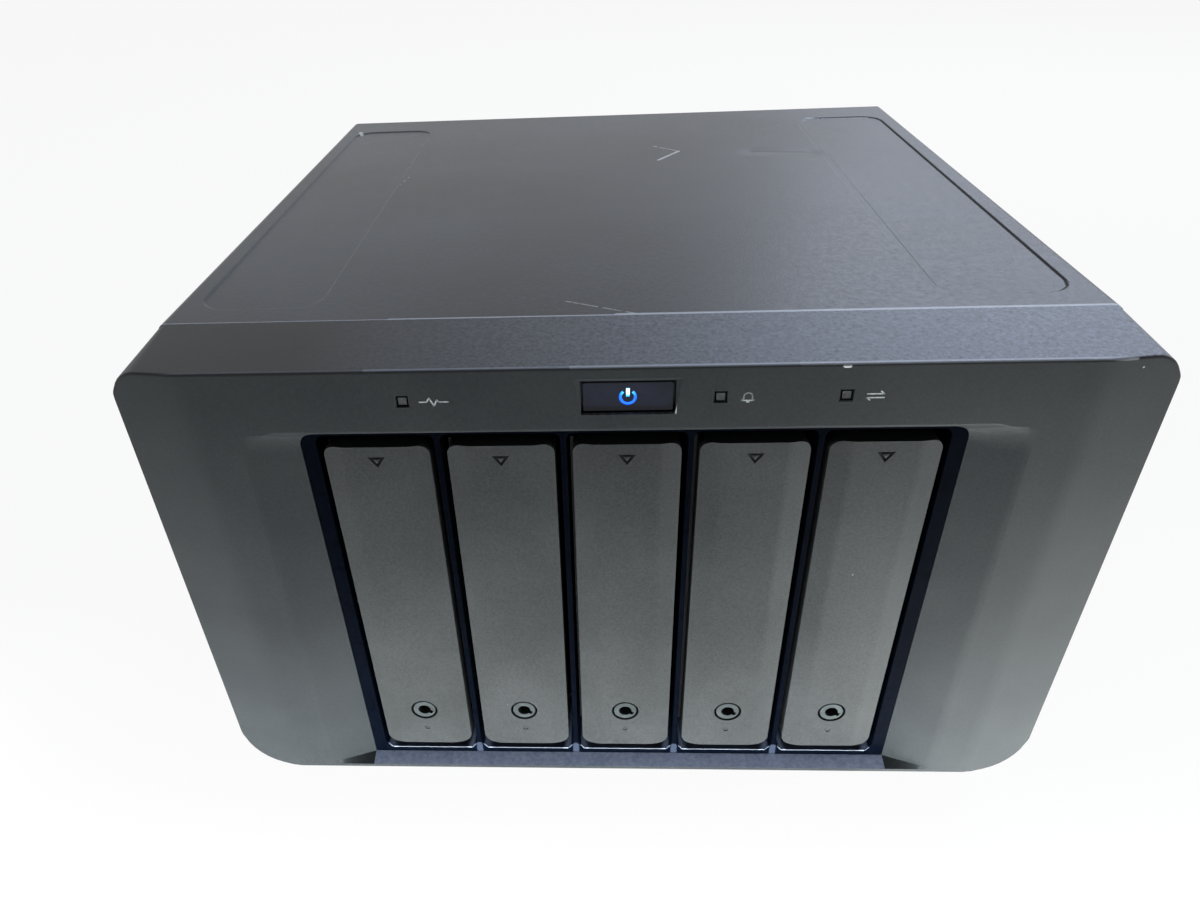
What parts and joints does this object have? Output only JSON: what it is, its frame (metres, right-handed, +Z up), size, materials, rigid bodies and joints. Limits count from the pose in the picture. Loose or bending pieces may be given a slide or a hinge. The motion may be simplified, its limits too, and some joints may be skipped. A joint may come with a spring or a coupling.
{
  "type": "network attached storage enclosure",
  "caption": "Desktop drive enclosure with a moulded bezel, upright hot-swap drive trays with swing handles and locks, a lit power button, rear fans and a folded steel case.",
  "frame": {"origin": "on the desk at the middle of the footprint", "axes": "+Z up, front face with the trays towards -Y, +X to the right as seen from the front"},
  "size_m": [0.248, 0.243, 0.166],
  "materials": {
    "bezel_plastic": "fine spark-textured moulding, dark charcoal",
    "frame_plastic": "black moulded plastic, satin",
    "handle_plastic": "warm grey moulded plastic, satin",
    "carrier_plastic": "dark grey moulded plastic",
    "guide_plastic": "black moulded plastic",
    "connector_plastic": "natural nylon connector",
    "black_connector": "black connector plastic",
    "button_plastic": "piano black, polished",
    "lens_plastic": "smoky light guide",
    "pipe_plastic": "clear light pipe",
    "fan_plastic": "black glass-filled plastic",
    "cover_paint": "fine textured dark grey powder coat",
    "panel_paint": "fine textured grey powder coat",
    "zinc_steel": "zinc plated sheet steel",
    "screw_steel": "black zinc screws",
    "pin_steel": "ground steel pin",
    "board": "green solder mask",
    "supply_case": "plain galvanised sheet",
    "supply_board": "phenolic board with parts",
    "lock_metal": "dark nickel plated zinc",
    "lead": "sheathed wires",
    "foot_rubber": "black rubber",
    "icon_blue": "lit blue light guide"
  },
  "bodies": {
    "chassis": {"front_bezel": "bezel_plastic", "bay_frame": "frame_plastic", "front_plate": "zinc_steel", "base_pan": "zinc_steel", "top_cover": "cover_paint", "rear_panel": "panel_paint", "cage_side_left": "zinc_steel", "cage_side_right": "zinc_steel", "cage_top_plate": "zinc_steel", "cage_bottom_plate": "zinc_steel", "guide_rails": "guide_plastic", "backplane": "board", "drive_sockets": "black_connector", "controller_board": "board", "expansion_port": "zinc_steel", "board_connector": "connector_plastic", "power_supply_case": "supply_case", "power_supply_board": "supply_board", "mains_inlet": "black_connector", "power_lead": "lead", "led_board": "board", "status_lens": "lens_plastic", "alert_lens": "lens_plastic", "link_lens": "lens_plastic", "fan_frame_left": "fan_plastic", "fan_frame_right": "fan_plastic", "fan_screws": "screw_steel", "cover_screws": "screw_steel", "board_screws": "pin_steel", "security_slot_plate": "zinc_steel", "rubber_feet": "foot_rubber"},
    "power_button": {"power_button": "button_plastic", "power_icon": "icon_blue"},
    "fan_left": {"fan_rotor_left": "fan_plastic"},
    "fan_right": {"fan_rotor_right": "fan_plastic"},
    "tray_1": {"tray_carrier_1": "carrier_plastic", "hinge_pin_1": "pin_steel"},
    "handle_1": {"tray_handle_1": "handle_plastic", "light_pipe_1": "pipe_plastic"},
    "lock_1": {"tray_lock_1": "lock_metal"},
    "tray_2": {"tray_carrier_2": "carrier_plastic", "hinge_pin_2": "pin_steel"},
    "handle_2": {"tray_handle_2": "handle_plastic", "light_pipe_2": "pipe_plastic"},
    "lock_2": {"tray_lock_2": "lock_metal"},
    "tray_3": {"tray_carrier_3": "carrier_plastic", "hinge_pin_3": "pin_steel"},
    "handle_3": {"tray_handle_3": "handle_plastic", "light_pipe_3": "pipe_plastic"},
    "lock_3": {"tray_lock_3": "lock_metal"},
    "tray_4": {"tray_carrier_4": "carrier_plastic", "hinge_pin_4": "pin_steel"},
    "handle_4": {"tray_handle_4": "handle_plastic", "light_pipe_4": "pipe_plastic"},
    "lock_4": {"tray_lock_4": "lock_metal"},
    "tray_5": {"tray_carrier_5": "carrier_plastic", "hinge_pin_5": "pin_steel"},
    "handle_5": {"tray_handle_5": "handle_plastic", "light_pipe_5": "pipe_plastic"},
    "lock_5": {"tray_lock_5": "lock_metal"}
  },
  "joints": [
    {"name": "power_button_press", "type": "slide", "parent": "chassis", "child": "power_button", "axis": [0, 1, 0], "range_m": [0, 0.0012], "stiffness_N_per_m": 800, "springref_m": -0.0005},
    {"name": "fan_left_spin", "type": "hinge", "parent": "chassis", "child": "fan_left", "pos_m": [-0.041, 0.105, 0.092], "axis": [0, 1, 0], "continuous": true},
    {"name": "fan_right_spin", "type": "hinge", "parent": "chassis", "child": "fan_right", "pos_m": [0.041, 0.105, 0.092], "axis": [0, 1, 0], "continuous": true},
    {"name": "tray_slide_1", "type": "slide", "parent": "chassis", "child": "tray_1", "axis": [0, -1, 0], "range_m": [0, 0.165]},
    {"name": "handle_swing_1", "type": "hinge", "parent": "tray_1", "child": "handle_1", "pos_m": [-0.063, -0.113, 0.0315], "axis": [1, 0, 0], "range_deg": [0, 40]},
    {"name": "lock_turn_1", "type": "hinge", "parent": "handle_1", "child": "lock_1", "pos_m": [-0.063, -0.115, 0.0423], "axis": [0, 1, 0], "range_deg": [0, 90]},
    {"name": "tray_slide_2", "type": "slide", "parent": "chassis", "child": "tray_2", "axis": [0, -1, 0], "range_m": [0, 0.165]},
    {"name": "handle_swing_2", "type": "hinge", "parent": "tray_2", "child": "handle_2", "pos_m": [-0.0315, -0.113, 0.0315], "axis": [1, 0, 0], "range_deg": [0, 40]},
    {"name": "lock_turn_2", "type": "hinge", "parent": "handle_2", "child": "lock_2", "pos_m": [-0.0315, -0.115, 0.0423], "axis": [0, 1, 0], "range_deg": [0, 90]},
    {"name": "tray_slide_3", "type": "slide", "parent": "chassis", "child": "tray_3", "axis": [0, -1, 0], "range_m": [0, 0.165]},
    {"name": "handle_swing_3", "type": "hinge", "parent": "tray_3", "child": "handle_3", "pos_m": [0, -0.113, 0.0315], "axis": [1, 0, 0], "range_deg": [0, 40]},
    {"name": "lock_turn_3", "type": "hinge", "parent": "handle_3", "child": "lock_3", "pos_m": [0, -0.115, 0.0423], "axis": [0, 1, 0], "range_deg": [0, 90]},
    {"name": "tray_slide_4", "type": "slide", "parent": "chassis", "child": "tray_4", "axis": [0, -1, 0], "range_m": [0, 0.165]},
    {"name": "handle_swing_4", "type": "hinge", "parent": "tray_4", "child": "handle_4", "pos_m": [0.0315, -0.113, 0.0315], "axis": [1, 0, 0], "range_deg": [0, 40]},
    {"name": "lock_turn_4", "type": "hinge", "parent": "handle_4", "child": "lock_4", "pos_m": [0.0315, -0.115, 0.0423], "axis": [0, 1, 0], "range_deg": [0, 90]},
    {"name": "tray_slide_5", "type": "slide", "parent": "chassis", "child": "tray_5", "axis": [0, -1, 0], "range_m": [0, 0.165]},
    {"name": "handle_swing_5", "type": "hinge", "parent": "tray_5", "child": "handle_5", "pos_m": [0.063, -0.113, 0.0315], "axis": [1, 0, 0], "range_deg": [0, 40]},
    {"name": "lock_turn_5", "type": "hinge", "parent": "handle_5", "child": "lock_5", "pos_m": [0.063, -0.115, 0.0423], "axis": [0, 1, 0], "range_deg": [0, 90]}
  ]
}
